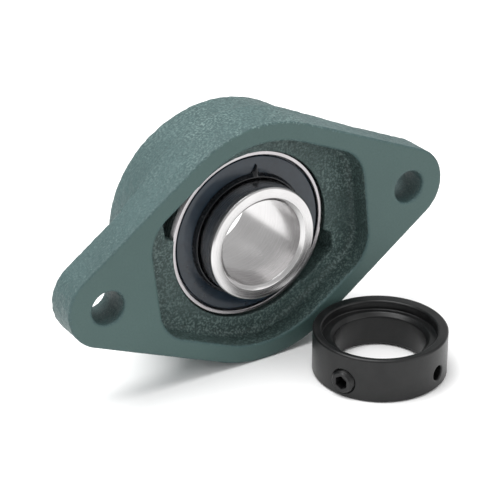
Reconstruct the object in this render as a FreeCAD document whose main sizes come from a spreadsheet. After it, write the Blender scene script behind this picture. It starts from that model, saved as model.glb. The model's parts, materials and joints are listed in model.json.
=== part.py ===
import FreeCAD, Part
import math
import os
import Sketcher

# Flange mount bearing: a two-bolt cast flange housing, a self-aligning insert ball bearing of the 206
# size in it, and the bearing's eccentric locking collar lying on the ground in front of the flange.
#
# Row frame: the origin is the centre of the mounting face, +Y runs along the shaft axis out of the
# mounting face towards the boss, and +Z is up. The flange stands on its round waist, rolled a little.
# Sub-parts on the shaft axis are drawn with their own Z along that axis and X along the bolt line.

os.makedirs("parts", exist_ok=True)

doc = FreeCAD.newDocument("FlangeMountBearing")

SIZES = {
    # housing
    "bolt_spacing": 116.5,
    "bolt_hole_diameter": 11.5,
    "flange_end_radius": 13.8,
    "flange_waist_radius": 42.5,
    "flange_thickness": 13.5,
    "housing_depth": 34.0,
    "boss_front_radius": 40.3,
    "boss_draft": 5.0,
    "boss_root_blend": 8.0,
    "flange_back_round": 2.0,
    "boss_edge_round": 2.5,
    "recess_offset": 36.0,
    "recess_half_length": 40.5,
    "recess_corner_radius": 14.0,
    "recess_depth": 8.6,
    "recess_floor_round": 2.0,
    "front_opening_radius": 30.2,
    "front_opening_depth": 5.0,
    "seat_radius": 31.05,
    "seat_slot_width": 18.8,
    "seat_slot_turn": 36.0,
    "seat_slot_side": 30.6,
    "roll_angle": 6.3,
    # bearing
    "bearing_centre": 19.0,
    "ball_diameter": 9.525,
    "ball_circle_diameter": 46.0,
    "race_clearance": 0.03,
    "race_curve_radius": 4.95,
    "outer_ring_radius": 31.0,
    "outer_ring_width": 18.0,
    "outer_ring_rim": 28.95,
    "outer_ring_land": 25.4,
    "seal_seat_radius": 27.7,
    "seal_seat_depth": 2.2,
    "seal_seat_chamfer": 0.2,
    "outer_ring_groove_radius": 29.6,
    "outer_ring_groove_width": 2.0,
    "outer_ring_groove_level": 4.0,
    "outer_ring_hole_radius": 0.6,
    "shaft_diameter": 30.0,
    "inner_ring_radius": 19.8,
    "inner_ring_rear": 18.3,
    "inner_ring_front": 14.3,
    "cam_length": 3.9,
    "cam_radius": 18.8,
    "cam_offset": 0.95,
    "ring_chamfer": 0.5,
    "bore_chamfer": 1.2,
    # cage
    "cage_sheet": 0.8,
    "cage_inner_radius": 21.3,
    "cage_outer_radius": 24.7,
    "cage_ball_gap": 0.15,
    "rivet_radius": 0.55,
    "rivet_hole_gap": 0.02,
    "rivet_head_radius": 0.95,
    "rivet_head_height": 0.4,
    # seals
    "shield_face": 8.6,
    "shield_sheet": 0.6,
    "shield_gap": 0.6,
    "shield_foot": 0.5,
    "shield_inner_radius": 21.1,
    "lip_clearance": 0.05,
    "lip_crest": 10.2,
    "lip_crest_inset": 0.4,
    "lip_slope": 1.0,
    "lip_overlap": 0.3,
    "lip_shoulder": 0.5,
    "lip_inside": 7.4,
    "nib_width": 3.8,
    "nib_tip_radius": 24.6,
    "nib_turn": 13.5,
    # locking collar and its set screw
    "collar_radius": 22.4,
    "collar_height": 15.5,
    "collar_bore_radius": 15.1,
    "collar_recess_radius": 19.1,
    "collar_recess_depth": 3.3,
    "collar_edge_chamfer": 0.5,
    "collar_ledge_chamfer": 1.3,
    "collar_bore_chamfer": 1.0,
    "collar_x": 28.7,
    "collar_y": -25.6,
    "collar_turn": -158.0,
    "collar_recess_turn": 18.0,
    "screw_level": 5.6,
    "screw_radius": 4.0,
    "screw_hole_clearance": 0.05,
    "screw_length": 8.0,
    "screw_stand_out": 1.1,
    "screw_key": 4.0,
    "screw_key_depth": 4.0,
    "screw_chamfer": 0.7,
    "drift_hole_radius": 2.5,
    "drift_hole_depth": 4.5,
    # grease fitting
    "fitting_tilt": 45.0,
    "fitting_spot_radius": 5.5,
    "fitting_spot_distance": 10.2,
    "fitting_thread_radius": 3.0,
    "fitting_thread_length": 5.5,
    "fitting_hole_gap": 0.02,
    "fitting_hex_across": 7.0,
    "fitting_hex_height": 3.0,
    "fitting_neck_start": 4.2,
    "fitting_neck_end": 5.8,
    "fitting_head_start": 7.2,
    "fitting_head_end": 7.8,
    "fitting_neck_radius": 2.25,
    "fitting_head_radius": 3.25,
    "fitting_length": 10.0,
    "fitting_mouth_radius": 1.0,
    "fitting_mouth_rim": 0.6,
    "fitting_mouth_depth": 0.6,
    "fitting_seat_depth": 1.3,
    "fitting_end_wall": 0.5,
    "fitting_bore_radius": 1.5,
    "fitting_ball_radius": 1.3,
    "spring_mean_radius": 1.0,
    "spring_wire_radius": 0.18,
    "spring_length": 12.4,
    "spring_turns": 8,
    "passage_radius": 1.5,
    "fitting_end_hole_radius": 0.9,
    "fitting_ball_level": 8.5,
}
BALLS = 9

dim = doc.addObject("Spreadsheet::Sheet", "dim")
for row, (alias, number) in enumerate(SIZES.items(), start=1):
    dim.set("A%d" % row, alias)
    dim.set("B%d" % row, str(number))
    dim.setAlias("B%d" % row, alias)
doc.recompute()

ALONG_Z = FreeCAD.Vector(0, 0, 1)
shaft_turn = FreeCAD.Rotation(FreeCAD.Vector(0, 1, 0), -dim.roll_angle).multiply(
    FreeCAD.Rotation(FreeCAD.Vector(1, 0, 0), -90)
)


def number(expression):
    """The value that an expression over the sheet's aliases has."""
    return float(dim.evalExpression(expression))


def add(kind, label, **expressions):
    """A new object with some of its properties bound to the sheet."""
    made = doc.addObject(kind, label)
    for name, expression in expressions.items():
        made.setExpression(name, expression)
    return made


# ---------------------------------------------------------------- PartDesign helpers


def new_body(label):
    made = doc.addObject("PartDesign::Body", label)
    made.Label = label
    return made


def plane_of(body, role):
    return next(f for f in body.Origin.OriginFeatures if f.Role == role)


def new_sketch(body, name, role="XY_Plane", lift="0"):
    """A sketch on one of the body's own planes, lifted along that plane's normal."""
    made = body.newObject("Sketcher::SketchObject", name)
    made.AttachmentSupport = [(plane_of(body, role), "")]
    made.MapMode = "FlatFace"
    made.setExpression("AttachmentOffset.Base.z", lift)
    return made


def bind(sketch, constraint, expression):
    """Adds a dimension to a sketch and binds it to the sheet."""
    index = sketch.addConstraint(constraint)
    sketch.setExpression("Constraints[%d]" % index, expression)


def hold_point(sketch, curve, end, across, up):
    """Dimensions one point of a sketch from the sketch's origin."""
    bind(sketch, Sketcher.Constraint("DistanceX", -1, 1, curve, end, number(across)), across)
    bind(sketch, Sketcher.Constraint("DistanceY", -1, 1, curve, end, number(up)), up)


def chain(sketch, curves):
    """Adds curves that follow each other and closes them into one smooth outline."""
    for curve in curves:
        sketch.addGeometry(curve, False)
    for i in range(len(curves)):
        sketch.addConstraint(Sketcher.Constraint("Tangent", i, 2, (i + 1) % len(curves), 1))


def polygon(body, name, corners, role="XZ_Plane"):
    """A closed outline of straight lines, each corner dimensioned by two expressions."""
    sketch = new_sketch(body, name, role)
    places = [FreeCAD.Vector(number(across), number(up), 0) for across, up in corners]
    count = len(places)
    for i in range(count):
        sketch.addGeometry(Part.LineSegment(places[i], places[(i + 1) % count]), False)
    for i in range(count):
        sketch.addConstraint(Sketcher.Constraint("Coincident", i, 2, (i + 1) % count, 1))
    for i in range(count):
        hold_point(sketch, i, 1, *corners[i])
    return sketch


def disc(body, name, radius, across="0", up="0", role="XY_Plane", lift="0"):
    """A sketch with one circle."""
    sketch = new_sketch(body, name, role, lift)
    centre = FreeCAD.Vector(number(across), number(up), 0)
    sketch.addGeometry(Part.Circle(centre, ALONG_Z, number(radius)), False)
    bind(sketch, Sketcher.Constraint("Radius", 0, number(radius)), radius)
    hold_point(sketch, 0, 3, across, up)
    return sketch


def pad(body, sketch, length, backwards=False):
    made = body.newObject("PartDesign::Pad", sketch.Name + "_pad")
    made.Profile = sketch
    made.setExpression("Length", length)
    made.Reversed = backwards
    doc.recompute()
    return made


def pocket(body, sketch, length=None, backwards=False):
    """A pocket that has to remove something; without a length it goes right through both ways."""
    doc.recompute()
    before = body.Shape.Volume
    made = body.newObject("PartDesign::Pocket", sketch.Name + "_pocket")
    made.Profile = sketch
    if length is None:
        made.Type = "ThroughAll"
        made.Midplane = True
    else:
        made.setExpression("Length", length)
        made.Reversed = backwards
    doc.recompute()
    if body.Shape.Volume > before - 1e-3:
        raise RuntimeError(made.Name + " cuts nothing")
    return made


def turned(body, kind, sketch):
    """A Revolution or Groove of a sketch about the body's own Z axis."""
    made = body.newObject("PartDesign::" + kind, sketch.Name + "_" + kind.lower())
    made.Profile = sketch
    made.ReferenceAxis = (plane_of(body, "Z_Axis"), [""])
    made.Angle = 360
    doc.recompute()
    return made


def primitive(body, kind, name, placement, **expressions):
    """An additive or subtractive primitive of a body."""
    before = body.Shape.Volume if body.Tip else 0
    made = body.newObject("PartDesign::" + kind, name)
    made.Placement = placement
    for key, expression in expressions.items():
        made.setExpression(key, expression)
    doc.recompute()
    if kind.startswith("Subtractive") and body.Shape.Volume > before - 1e-3:
        raise RuntimeError(name + " cuts nothing")
    return made


def dressed(body, kind, name, edges, expression):
    """A Fillet or Chamfer on edges of the body's tip, picked by a test on each edge."""
    names = ["Edge%d" % (i + 1) for i, edge in enumerate(body.Shape.Edges) if edges(edge)]
    if not names:
        raise RuntimeError(name + " found no edge")
    made = body.newObject("PartDesign::" + kind, name)
    made.Base = (body.Tip if body.Tip != made else made.BaseFeature, names)
    made.setExpression("Radius" if kind == "Fillet" else "Size", expression)
    doc.recompute()
    return sound(made)


def sound(made):
    """Stops at a feature that FreeCAD left failed."""
    if "Invalid" in made.State or "Error" in made.State or not made.isValid():
        raise RuntimeError(made.Name + " failed: " + str(made.State))
    return made


def ring_edge(radius, level, off_centre=0.0):
    """A test for a circular edge about Z, of one radius and height."""

    def matches(edge):
        curve = edge.Curve
        if not isinstance(curve, Part.Circle):
            return False
        near_axis = math.hypot(curve.Center.x, curve.Center.y) <= off_centre + 0.01
        return near_axis and abs(curve.Radius - radius) < 0.01 and abs(curve.Center.z - level) < 0.01

    return matches


def edge_radius(edge):
    return edge.Curve.Radius if isinstance(edge.Curve, Part.Circle) else 0


def radial(angle, level, distance, outward=True):
    """A placement whose Z runs along a radius of the body's axis."""
    turn = math.radians(angle)
    way = FreeCAD.Vector(math.cos(turn), math.sin(turn), 0)
    base = way * distance + FreeCAD.Vector(0, 0, level)
    return FreeCAD.Placement(base, FreeCAD.Rotation(ALONG_Z, way if outward else way * -1))


# ---------------------------------------------------------------- housing


def arc(centre, radius, start, stop):
    return Part.ArcOfCircle(Part.Circle(centre, ALONG_Z, radius), start, stop)


def on_circle(centre, radius, angle):
    return centre + FreeCAD.Vector(math.cos(angle), math.sin(angle), 0) * radius


def flange_outline(body):
    """The flange's outline: two waist arcs and two end arcs joined by tangent lines."""
    sketch = new_sketch(body, "flange_outline")
    small, large, reach = dim.flange_end_radius, dim.flange_waist_radius, dim.bolt_spacing / 2
    lean = math.asin((large - small) / reach)
    quarter, half = math.pi / 2, math.pi
    centre, right = FreeCAD.Vector(0, 0, 0), FreeCAD.Vector(reach, 0, 0)
    curves = []
    for turn, end in ((0, right), (half, right * -1)):
        side = quarter - lean + turn
        far_side = quarter + lean + turn
        curves += [
            arc(end, small, lean - quarter + turn, side),
            Part.LineSegment(on_circle(end, small, side), on_circle(centre, large, side)),
            arc(centre, large, side, far_side),
            Part.LineSegment(on_circle(centre, large, far_side), on_circle(end * -1, small, far_side)),
        ]
    chain(sketch, curves)
    for curve, radius, across in (
        (0, "dim.flange_end_radius", "dim.bolt_spacing / 2"),
        (2, "dim.flange_waist_radius", "0"),
        (4, "dim.flange_end_radius", "-dim.bolt_spacing / 2"),
        (6, "dim.flange_waist_radius", "0"),
    ):
        hold_point(sketch, curve, 3, across, "0")
        bind(sketch, Sketcher.Constraint("Radius", curve, number(radius)), radius)
    return sketch


def around_boss(body):
    """What is cut away round the boss: down its draft, through a concave blend, out over the flange."""
    sketch = new_sketch(body, "around_boss", "XZ_Plane")
    draft = math.radians(dim.boss_draft)
    top, foot, blend = dim.housing_depth, dim.flange_thickness, dim.boss_root_blend
    middle = FreeCAD.Vector(
        dim.boss_front_radius + blend / math.cos(draft) + (top - foot - blend) * math.tan(draft),
        foot + blend,
        0,
    )
    over = top + dim.boss_edge_round
    corners = [
        on_circle(middle, blend, math.pi + draft),
        FreeCAD.Vector(dim.boss_front_radius, top, 0),
        FreeCAD.Vector(dim.boss_front_radius, over, 0),
        FreeCAD.Vector(dim.bolt_spacing, over, 0),
        FreeCAD.Vector(dim.bolt_spacing, foot, 0),
        on_circle(middle, blend, -math.pi / 2),
    ]
    for start, end in zip(corners, corners[1:]):
        sketch.addGeometry(Part.LineSegment(start, end), False)
    sketch.addGeometry(arc(middle, blend, math.pi + draft, 3 * math.pi / 2), False)
    for line in range(4):
        sketch.addConstraint(Sketcher.Constraint("Coincident", line, 2, line + 1, 1))
    sketch.addConstraint(Sketcher.Constraint("Tangent", 4, 2, 5, 2))
    sketch.addConstraint(Sketcher.Constraint("Tangent", 5, 1, 0, 1))
    bind(sketch, Sketcher.Constraint("Radius", 5, blend), "dim.boss_root_blend")
    bind(sketch, Sketcher.Constraint("Angle", 0, math.pi / 2 + draft), "90 deg + dim.boss_draft * 1 deg")
    hold_point(sketch, 0, 2, "dim.boss_front_radius", "dim.housing_depth")
    hold_point(sketch, 1, 2, "dim.boss_front_radius", "dim.housing_depth + dim.boss_edge_round")
    hold_point(sketch, 2, 2, "dim.bolt_spacing", "dim.housing_depth + dim.boss_edge_round")
    hold_point(sketch, 3, 2, "dim.bolt_spacing", "dim.flange_thickness")
    sketch.addConstraint(Sketcher.Constraint("Horizontal", 4))
    return sketch


def recess_outline(body):
    """The recess: it follows the flange's outline inside it, up to two straight ends."""
    sketch = new_sketch(body, "recess_outline")
    reach = dim.bolt_spacing / 2
    lean = math.asin((dim.flange_waist_radius - dim.flange_end_radius) / reach)
    large, small, half_length = dim.recess_offset, dim.recess_corner_radius, dim.recess_half_length
    across = half_length - small
    up = (large - small - across * math.sin(lean)) / math.cos(lean)
    quarter, half = math.pi / 2, math.pi
    centre = FreeCAD.Vector(0, 0, 0)
    curves = []
    for turn, sign in ((0, 1), (half, -1)):
        near, far = FreeCAD.Vector(across, up, 0) * sign, FreeCAD.Vector(-across, up, 0) * sign
        side = quarter - lean + turn
        far_side = quarter + lean + turn
        foot = FreeCAD.Vector(half_length, -up, 0) * sign
        curves += [
            Part.LineSegment(foot, FreeCAD.Vector(half_length, up, 0) * sign),
            arc(near, small, turn, side),
            Part.LineSegment(on_circle(near, small, side), on_circle(centre, large, side)),
            arc(centre, large, side, far_side),
            Part.LineSegment(on_circle(centre, large, far_side), on_circle(far, small, far_side)),
            arc(far, small, far_side, half + turn),
        ]
    chain(sketch, curves)
    slant = "asin((dim.flange_waist_radius - dim.flange_end_radius) / (dim.bolt_spacing / 2))"
    for first, sign in ((0, ""), (6, "-")):
        sketch.addConstraint(Sketcher.Constraint("Vertical", first))
        reach_out = sign + "dim.recess_half_length"
        bind(sketch, Sketcher.Constraint("DistanceX", -1, 1, first, 1, number(reach_out)), reach_out)
        for corner in (first + 1, first + 5):
            bind(sketch, Sketcher.Constraint("Radius", corner, small), "dim.recess_corner_radius")
        hold_point(sketch, first + 3, 3, "0", "0")
        bind(sketch, Sketcher.Constraint("Radius", first + 3, large), "dim.recess_offset")
    for line, start, way in ((2, "180", "-"), (4, "180", "+"), (8, "0", "-"), (10, "0", "+")):
        angle = "%s deg %s %s" % (start, way, slant)
        bind(sketch, Sketcher.Constraint("Angle", line, math.radians(number(angle))), angle)
    return sketch


def loading_slots(body):
    """One band across the seat: each end stops at a line across the bolts and at a slanted side."""
    turn, half = "(dim.seat_slot_turn * 1 deg)", "dim.seat_slot_width / 2"
    lean = "asin((dim.flange_waist_radius - dim.flange_end_radius) / dim.bolt_spacing * 2)"
    end, side = "dim.seat_radius", "dim.seat_slot_side"
    apart = "sin(%s + %s)" % (lean, turn)
    corners = [
        (end, "(%s * sin%s - %s) / cos%s" % (end, turn, half, turn)),
        (end, "(%s - %s * sin(%s)) / cos(%s)" % (side, end, lean, lean)),
        (
            "(%s * cos%s - cos(%s) * %s) / %s" % (side, turn, lean, half, apart),
            "(%s * sin%s + sin(%s) * %s) / %s" % (side, turn, lean, half, apart),
        ),
    ]
    corners += [("-" + across, "-" + up) for across, up in corners]
    return polygon(body, "loading_slots", corners, "XY_Plane")


def add_grease_passage(body):
    """The spot face, tapped hole and drilled passage of the grease fitting, aslant through the boss."""
    seat = fitting_placement(housing_frame=True)
    primitive(
        body,
        "SubtractiveCylinder",
        "fitting_spot_face",
        seat,
        Radius="dim.fitting_spot_radius",
        Height="dim.boss_edge_round * 4",
    )
    tapped = FreeCAD.Placement(seat)
    tapped.Base = seat.multVec(FreeCAD.Vector(0, 0, -dim.fitting_thread_length - 1))
    primitive(
        body,
        "SubtractiveCylinder",
        "fitting_tapped_hole",
        tapped,
        Radius="dim.fitting_thread_radius + dim.fitting_hole_gap",
        Height="dim.fitting_thread_length + 2",
    )
    drilled = FreeCAD.Placement(seat)
    drilled.Base = seat.multVec(FreeCAD.Vector(0, 0, -dim.seat_radius / 2))
    primitive(
        body,
        "SubtractiveCylinder",
        "grease_passage",
        drilled,
        Radius="dim.passage_radius",
        Height="dim.seat_radius / 2",
    )


def fitting_placement(housing_frame=False):
    """The grease fitting's place, with its Z outwards: aslant between the bolt line and the shaft axis."""
    tilt = math.radians(dim.fitting_tilt)
    way = FreeCAD.Vector(math.cos(tilt), 0, math.sin(tilt))
    start = FreeCAD.Vector(dim.seat_radius - 1, 0, dim.bearing_centre + 3)
    local = FreeCAD.Placement(start + way * dim.fitting_spot_distance, FreeCAD.Rotation(ALONG_Z, way))
    if housing_frame:
        return local
    return FreeCAD.Placement(FreeCAD.Vector(), shaft_turn).multiply(local)


def recess_floor_edge(edge):
    return all(abs(vertex.Z - dim.recess_depth) < 0.01 for vertex in edge.Vertexes)


def flange_back_edge(edge):
    """The flange's outer back edges, at the bolt ends and beside them."""
    ends = [abs(v.Z - dim.flange_thickness) < 0.01 for v in edge.Vertexes]
    return all(ends) and not ring_edge(edge_radius(edge), dim.flange_thickness)(edge)


def make_housing():
    body = new_body("housing")
    pad(body, flange_outline(body), "dim.housing_depth")
    turned(body, "Groove", around_boss(body))
    front = ring_edge(dim.boss_front_radius, dim.housing_depth)
    dressed(body, "Fillet", "boss_edge_round", front, "dim.boss_edge_round")

    dressed(body, "Fillet", "flange_back_round", flange_back_edge, "dim.flange_back_round")

    pocket(body, recess_outline(body), "dim.recess_depth", backwards=True)
    dressed(body, "Fillet", "recess_floor_round", recess_floor_edge, "dim.recess_floor_round")

    primitive(
        body,
        "SubtractiveSphere",
        "bearing_seat",
        FreeCAD.Placement(FreeCAD.Vector(0, 0, dim.bearing_centre), FreeCAD.Rotation()),
        Radius="dim.seat_radius",
    )
    opening = disc(body, "front_opening", "dim.front_opening_radius", lift="dim.housing_depth")
    pocket(body, opening, "dim.front_opening_depth")
    pocket(body, loading_slots(body), "dim.bearing_centre", backwards=True)
    for side, sign in (("right", ""), ("left", "-")):
        hole = disc(body, side + "_bolt_hole", "dim.bolt_hole_diameter / 2", sign + "dim.bolt_spacing / 2")
        pocket(body, hole)
    add_grease_passage(body)
    body.Placement = FreeCAD.Placement(FreeCAD.Vector(), shaft_turn)
    return body


# ---------------------------------------------------------------- bearing


bearing_place = FreeCAD.Placement(FreeCAD.Vector(0, dim.bearing_centre, 0), shaft_turn)


def made_of(kind, name, **links):
    """A boolean of other objects."""
    made = doc.addObject("Part::" + kind, name)
    for key, value in links.items():
        setattr(made, key, value)
    return made


def part_cylinder(name, radius, height, level=None):
    made = add("Part::Cylinder", name, Radius=radius, Height=height)
    if level:
        made.setExpression("Placement.Base.z", level)
    return made


def part_sphere(name, radius):
    return add("Part::Sphere", name, Radius=radius)


def make_outer_ring():
    ball = part_sphere("outer_ring_sphere", "dim.outer_ring_radius")
    width_of = new_body("outer_ring_width")
    end, beyond = "dim.outer_ring_width / 2", "dim.outer_ring_radius + 1"
    chamfer_end = "(dim.outer_ring_width / 2 + dim.outer_ring_rim - dim.outer_ring_radius - 1)"
    slice_of = polygon(
        width_of,
        "outer_ring_slice",
        [
            ("0", "-" + end),
            ("dim.outer_ring_rim", "-" + end),
            (beyond, "-" + chamfer_end),
            (beyond, chamfer_end),
            ("dim.outer_ring_rim", end),
            ("0", end),
        ],
    )
    turned(width_of, "Revolution", slice_of)
    blank = made_of("Common", "outer_ring_blank", Base=ball, Tool=width_of)
    level, width = "dim.outer_ring_groove_level", "dim.outer_ring_groove_width"
    around = part_cylinder("groove_outside", "dim.outer_ring_radius + 1", width, level)
    within = part_cylinder("groove_inside", "dim.outer_ring_groove_radius", width, level)
    groove = made_of("Cut", "grease_groove", Base=around, Tool=within)
    hole = part_cylinder("grease_hole", "dim.outer_ring_hole_radius", "dim.outer_ring_radius")
    hole.Placement = radial(0, dim.outer_ring_groove_level + dim.outer_ring_groove_width / 2, 0)
    way = made_of("Fuse", "grease_way", Base=groove, Tool=hole)
    grooved = made_of("Cut", "outer_ring_grooved", Base=blank, Tool=way)

    body = new_body("outer_ring_hollow")
    half, seat = "dim.outer_ring_width / 2", "dim.seal_seat_radius"
    inner_end = "dim.outer_ring_width / 2 - dim.seal_seat_depth"
    hollow = polygon(
        body,
        "outer_ring_inside",
        [
            ("0", "-%s - 1" % half),
            (seat + " + dim.seal_seat_chamfer + 1", "-%s - 1" % half),
            (seat, "-%s + dim.seal_seat_chamfer" % half),
            (seat, "-(%s)" % inner_end),
            ("dim.outer_ring_land", "-(%s)" % inner_end),
            ("dim.outer_ring_land", inner_end),
            (seat, inner_end),
            (seat, "%s - dim.seal_seat_chamfer" % half),
            (seat + " + dim.seal_seat_chamfer + 1", "%s + 1" % half),
            ("0", "%s + 1" % half),
        ],
    )
    turned(body, "Revolution", hollow)
    bottom = "(dim.ball_circle_diameter / 2 + dim.ball_diameter / 2 + dim.race_clearance)"
    track = disc(
        body, "outer_race", "dim.race_curve_radius", bottom + " - dim.race_curve_radius", "0", "XZ_Plane"
    )
    turned(body, "Revolution", track)
    made = made_of("Cut", "outer_ring", Base=grooved, Tool=body)
    made.Label = "outer_ring"
    made.Placement = bearing_place
    return made


def make_inner_ring():
    body = new_body("inner_ring")
    across, edge = "dim.inner_ring_radius", "dim.ring_chamfer"
    blank = polygon(
        body,
        "inner_ring_section",
        [
            ("dim.shaft_diameter / 4", "-dim.inner_ring_rear"),
            ("%s - %s" % (across, edge), "-dim.inner_ring_rear"),
            (across, "-dim.inner_ring_rear + " + edge),
            (across, "dim.inner_ring_front - " + edge),
            ("%s - %s" % (across, edge), "dim.inner_ring_front"),
            ("dim.shaft_diameter / 4", "dim.inner_ring_front"),
        ],
    )
    turned(body, "Revolution", blank)
    cam = disc(body, "cam", "dim.cam_radius", "0", "dim.cam_offset", lift="dim.inner_ring_front")
    pad(body, cam, "dim.cam_length")
    cam_edge = ring_edge(dim.cam_radius, dim.inner_ring_front + dim.cam_length, dim.cam_offset)
    dressed(body, "Chamfer", "cam_chamfer", cam_edge, "dim.ring_chamfer")
    bottom = "(dim.ball_circle_diameter / 2 - dim.ball_diameter / 2 - dim.race_clearance)"
    track = disc(
        body, "inner_race", "dim.race_curve_radius", bottom + " + dim.race_curve_radius", "0", "XZ_Plane"
    )
    turned(body, "Groove", track)
    pocket(body, disc(body, "shaft_bore", "dim.shaft_diameter / 2"))
    for level in (-dim.inner_ring_rear, dim.inner_ring_front + dim.cam_length):
        mouth = ring_edge(dim.shaft_diameter / 2, level)
        name = "bore_chamfer_rear" if level < 0 else "bore_chamfer_front"
        dressed(body, "Chamfer", name, mouth, "dim.bore_chamfer")
    body.Placement = bearing_place
    return body


def ball_angle(i):
    return 360.0 * i / BALLS


def on_ball_circle(made, angle):
    """Moves an object out to the ball circle, at an angle about the shaft axis."""
    made.setExpression("Placement.Base.x", "dim.ball_circle_diameter / 2 * cos(%g deg)" % angle)
    made.setExpression("Placement.Base.y", "dim.ball_circle_diameter / 2 * sin(%g deg)" % angle)


def make_balls():
    made = []
    for i in range(BALLS):
        ball = part_sphere("ball_%d" % (i + 1), "dim.ball_diameter / 2")
        turn = math.radians(ball_angle(i))
        reach = dim.ball_circle_diameter / 2
        spot = FreeCAD.Placement(
            FreeCAD.Vector(reach * math.cos(turn), reach * math.sin(turn), 0), FreeCAD.Rotation()
        )
        ball.Placement = bearing_place.multiply(spot)
        made.append(ball)
    return made


def cage_pockets(name, radius):
    """Nine spheres round the ball circle, as one shape."""
    spheres = []
    for i in range(BALLS):
        sphere = part_sphere("%s_%d" % (name, i + 1), radius)
        on_ball_circle(sphere, ball_angle(i))
        spheres.append(sphere)
    return made_of("MultiFuse", name, Shapes=spheres)


def rivet_stack(name, sizes):
    """Coaxial cylinders between every two balls; sizes are their names, radii, levels and heights."""
    stacks = []
    for i in range(BALLS):
        pieces = []
        for tag, radius, level, height in sizes:
            piece = part_cylinder("%s_%s_%d" % (name, tag, i + 1), radius, height, level)
            on_ball_circle(piece, ball_angle(i + 0.5))
            pieces.append(piece)
        stacks += pieces
    return made_of("MultiFuse", name, Shapes=stacks)


def make_cage():
    """Two pressed half cages riveted together between the balls."""
    outside = cage_pockets("pocket_outside", "dim.ball_diameter / 2 + dim.cage_ball_gap + dim.cage_sheet")
    inside = cage_pockets("pocket_inside", "dim.ball_diameter / 2 + dim.cage_ball_gap")
    rim = part_cylinder("cage_rim", "dim.cage_outer_radius", "dim.ball_diameter")
    hollow = part_cylinder("cage_hollow", "dim.cage_inner_radius", "dim.ball_diameter + 2", "-1")
    band = made_of("Cut", "cage_band", Base=rim, Tool=hollow)
    pockets = made_of("Common", "cage_pockets", Base=band, Tool=outside)
    sheet_rim = part_cylinder("cage_sheet_rim", "dim.cage_outer_radius", "dim.cage_sheet")
    sheet_hollow = part_cylinder("cage_sheet_hollow", "dim.cage_inner_radius", "dim.cage_sheet + 2", "-1")
    flat = made_of("Cut", "cage_flat", Base=sheet_rim, Tool=sheet_hollow)
    ribbon = made_of("Fuse", "cage_ribbon", Base=pockets, Tool=flat)
    holes = rivet_stack("rivet_hole", [("bore", "dim.rivet_radius + dim.rivet_hole_gap", "-1", "3")])
    open_ribbon = made_of("Cut", "cage_open_ribbon", Base=ribbon, Tool=inside)
    half = made_of("Cut", "cage_half", Base=open_ribbon, Tool=holes)
    front = made_of("Cut", "cage_front", Base=open_ribbon, Tool=holes)
    rear = doc.addObject("Part::Mirroring", "cage_rear")
    rear.Source = half
    rear.Normal = ALONG_Z
    head = "dim.cage_sheet + dim.rivet_head_height"
    rivets = rivet_stack(
        "cage_rivets",
        [
            ("shank", "dim.rivet_radius", "-dim.cage_sheet", "2 * dim.cage_sheet"),
            ("front_head", "dim.rivet_head_radius", "dim.cage_sheet", "dim.rivet_head_height"),
            ("rear_head", "dim.rivet_head_radius", "-(%s)" % head, "dim.rivet_head_height"),
        ],
    )
    doc.recompute()
    for made in (front, rear, rivets):
        made.Placement = bearing_place
    return [front, rear, rivets]


def make_shield(side, sign):
    """A seal's sheet-steel shield: its foot is pressed into the outer ring's end, its edge stands clear."""
    body = new_body("seal_shield_" + side)
    face, under = "dim.shield_face", "dim.shield_face - dim.shield_sheet"
    outer, rim = "dim.seal_seat_radius", "dim.seal_seat_radius - dim.shield_gap"
    floor = "dim.outer_ring_width / 2 - dim.seal_seat_depth"
    corners = [
        ("dim.shield_inner_radius", face),
        (rim, face),
        (rim, floor + " + dim.shield_foot"),
        (outer, floor + " + dim.shield_foot"),
        (outer, floor),
        (rim + " - dim.shield_sheet", floor),
        (rim + " - dim.shield_sheet", under),
        ("dim.shield_inner_radius", under),
    ]
    signed = [(radius, "%s(%s)" % (sign, level)) for radius, level in corners]
    turned(body, "Revolution", polygon(body, "shield_section", signed))
    body.Placement = bearing_place
    return body


def make_lip(side, sign):
    """A seal's rubber lip: it is bonded to the shield's edge, stands up from it and has one nib."""
    body = new_body("seal_lip_" + side)
    inner = "dim.inner_ring_radius + dim.lip_clearance"
    root = "dim.shield_inner_radius"
    corners = [
        (root, "dim.lip_inside"),
        (root, "dim.shield_face"),
        (root + " + dim.lip_overlap", "dim.shield_face"),
        (root + " - dim.lip_shoulder", "dim.lip_crest"),
        (inner + " + dim.lip_crest_inset", "dim.lip_crest"),
        (inner, "dim.lip_crest - dim.lip_slope"),
        (inner, "dim.lip_inside"),
    ]
    signed = [(radius, "%s(%s)" % (sign, level)) for radius, level in corners]
    turned(body, "Revolution", polygon(body, "lip_section", signed))
    upright = FreeCAD.Rotation(ALONG_Z, 180 + dim.nib_turn)
    if sign == "":
        upright = upright.multiply(FreeCAD.Rotation(FreeCAD.Vector(0, 1, 0), 180))
    primitive(
        body,
        "AdditiveWedge",
        "nib",
        FreeCAD.Placement(FreeCAD.Vector(), upright),
        Xmin="-dim.nib_width / 2",
        Xmax="dim.nib_width / 2",
        X2min="-dim.nib_width / 20",
        X2max="dim.nib_width / 20",
        Ymin="dim.shield_inner_radius - 1",
        Ymax="dim.nib_tip_radius",
        Zmin="-dim.lip_crest + 0.1",
        Zmax="-dim.shield_face",
        Z2min="-dim.shield_face - 0.2",
        Z2max="-dim.shield_face",
    )
    body.Placement = bearing_place
    return body


# ---------------------------------------------------------------- locking collar


collar_place = FreeCAD.Placement(
    FreeCAD.Vector(dim.collar_x, dim.collar_y, -dim.flange_waist_radius),
    FreeCAD.Rotation(ALONG_Z, dim.collar_turn),
)


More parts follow.
